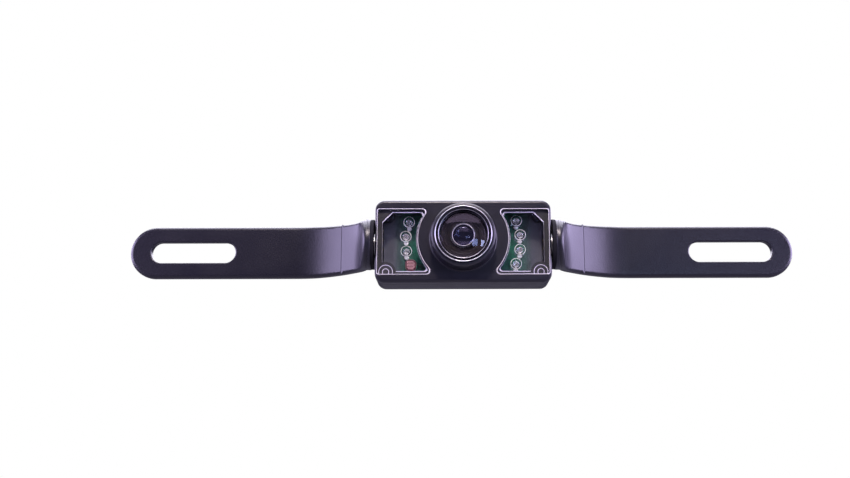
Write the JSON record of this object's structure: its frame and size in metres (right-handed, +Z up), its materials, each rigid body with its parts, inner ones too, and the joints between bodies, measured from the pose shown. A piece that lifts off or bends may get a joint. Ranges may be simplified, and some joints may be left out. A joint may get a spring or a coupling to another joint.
{
  "type": "backup camera",
  "caption": "Reversing camera for a licence plate: tilting head with lens and infrared windows between two slotted plate arms.",
  "frame": {"origin": "midway between the two arm slots, in the plane where the backs of the arms meet the plate", "axes": "+Z up, +X along the arms to the right as seen from in front, +Y into the plate; the lens looks along -Y"},
  "size_m": [0.3352, 0.0409, 0.0406],
  "materials": {
    "textured_black": "moulded black nylon with a fine satin texture",
    "gloss_black": "polished black plastic",
    "inner_black": "matt black plastic inside the head",
    "black_anodised": "black anodised turned aluminium",
    "clear_plastic": "clear polycarbonate with polished edges",
    "clear_epoxy": "water-clear moulded epoxy",
    "lens_glass": "coated optical glass with a faint blue and purple reflection",
    "black_rubber": "black silicone and nitrile rubber",
    "stainless": "plain stainless steel",
    "brass": "turned brass",
    "board_green": "green solder mask over glass-fibre board",
    "chip_black": "black moulded component bodies",
    "silver_leads": "silver-plated lead frame",
    "ivory_plastic": "off-white nylon",
    "photocell_face": "reddish photoconductive track under clear coat"
  },
  "bodies": {
    "left_arm": {"left_arm": "textured_black", "left_arm_cap": "textured_black", "left_friction_disc": "black_rubber"},
    "camera_head": {"front_cover": "textured_black", "rear_housing": "textured_black", "housing_gasket": "black_rubber", "left_window": "clear_plastic", "right_window": "clear_plastic", "window_seals": "black_rubber", "lens_bezel": "gloss_black", "cover_glass": "lens_glass", "glass_o_ring": "black_rubber", "lens_baffle": "inner_black", "lens_barrel": "black_anodised", "lens_retaining_ring": "black_anodised", "front_element": "lens_glass", "element_spacer": "black_anodised", "middle_element": "lens_glass", "rear_element": "lens_glass", "lens_holder": "inner_black", "sensor_filter": "lens_glass", "image_sensor": "chip_black", "camera_board": "board_green", "board_chips": "chip_black", "cable_connector": "ivory_plastic", "board_screws": "stainless", "led_board": "board_green", "ir_leds": "clear_epoxy", "led_frames": "silver_leads", "photocell": "photocell_face", "photocell_legs": "silver_leads", "led_resistors": "chip_black", "light_masks": "inner_black", "housing_screws": "stainless", "cable_gland": "black_rubber", "pivot_inserts": "brass", "thrust_washers": "stainless", "left_pivot_screw": "stainless", "right_pivot_screw": "stainless"},
    "right_arm": {"right_arm": "textured_black", "right_arm_cap": "textured_black", "right_friction_disc": "black_rubber"}
  },
  "joints": [
    {"name": "head_tilt", "type": "hinge", "parent": "left_arm", "child": "camera_head", "pos_m": [0, -0.0211, 0], "axis": [1, 0, 0], "range_deg": [-25, 25]},
    {"name": "right_arm_pivot", "type": "hinge", "parent": "camera_head", "child": "right_arm", "pos_m": [0, -0.0211, 0], "axis": [1, 0, 0], "range_deg": [-25, 25]}
  ],
  "couplings": [
    {"joint": "right_arm_pivot", "follows": "head_tilt", "ratio": -1}
  ]
}
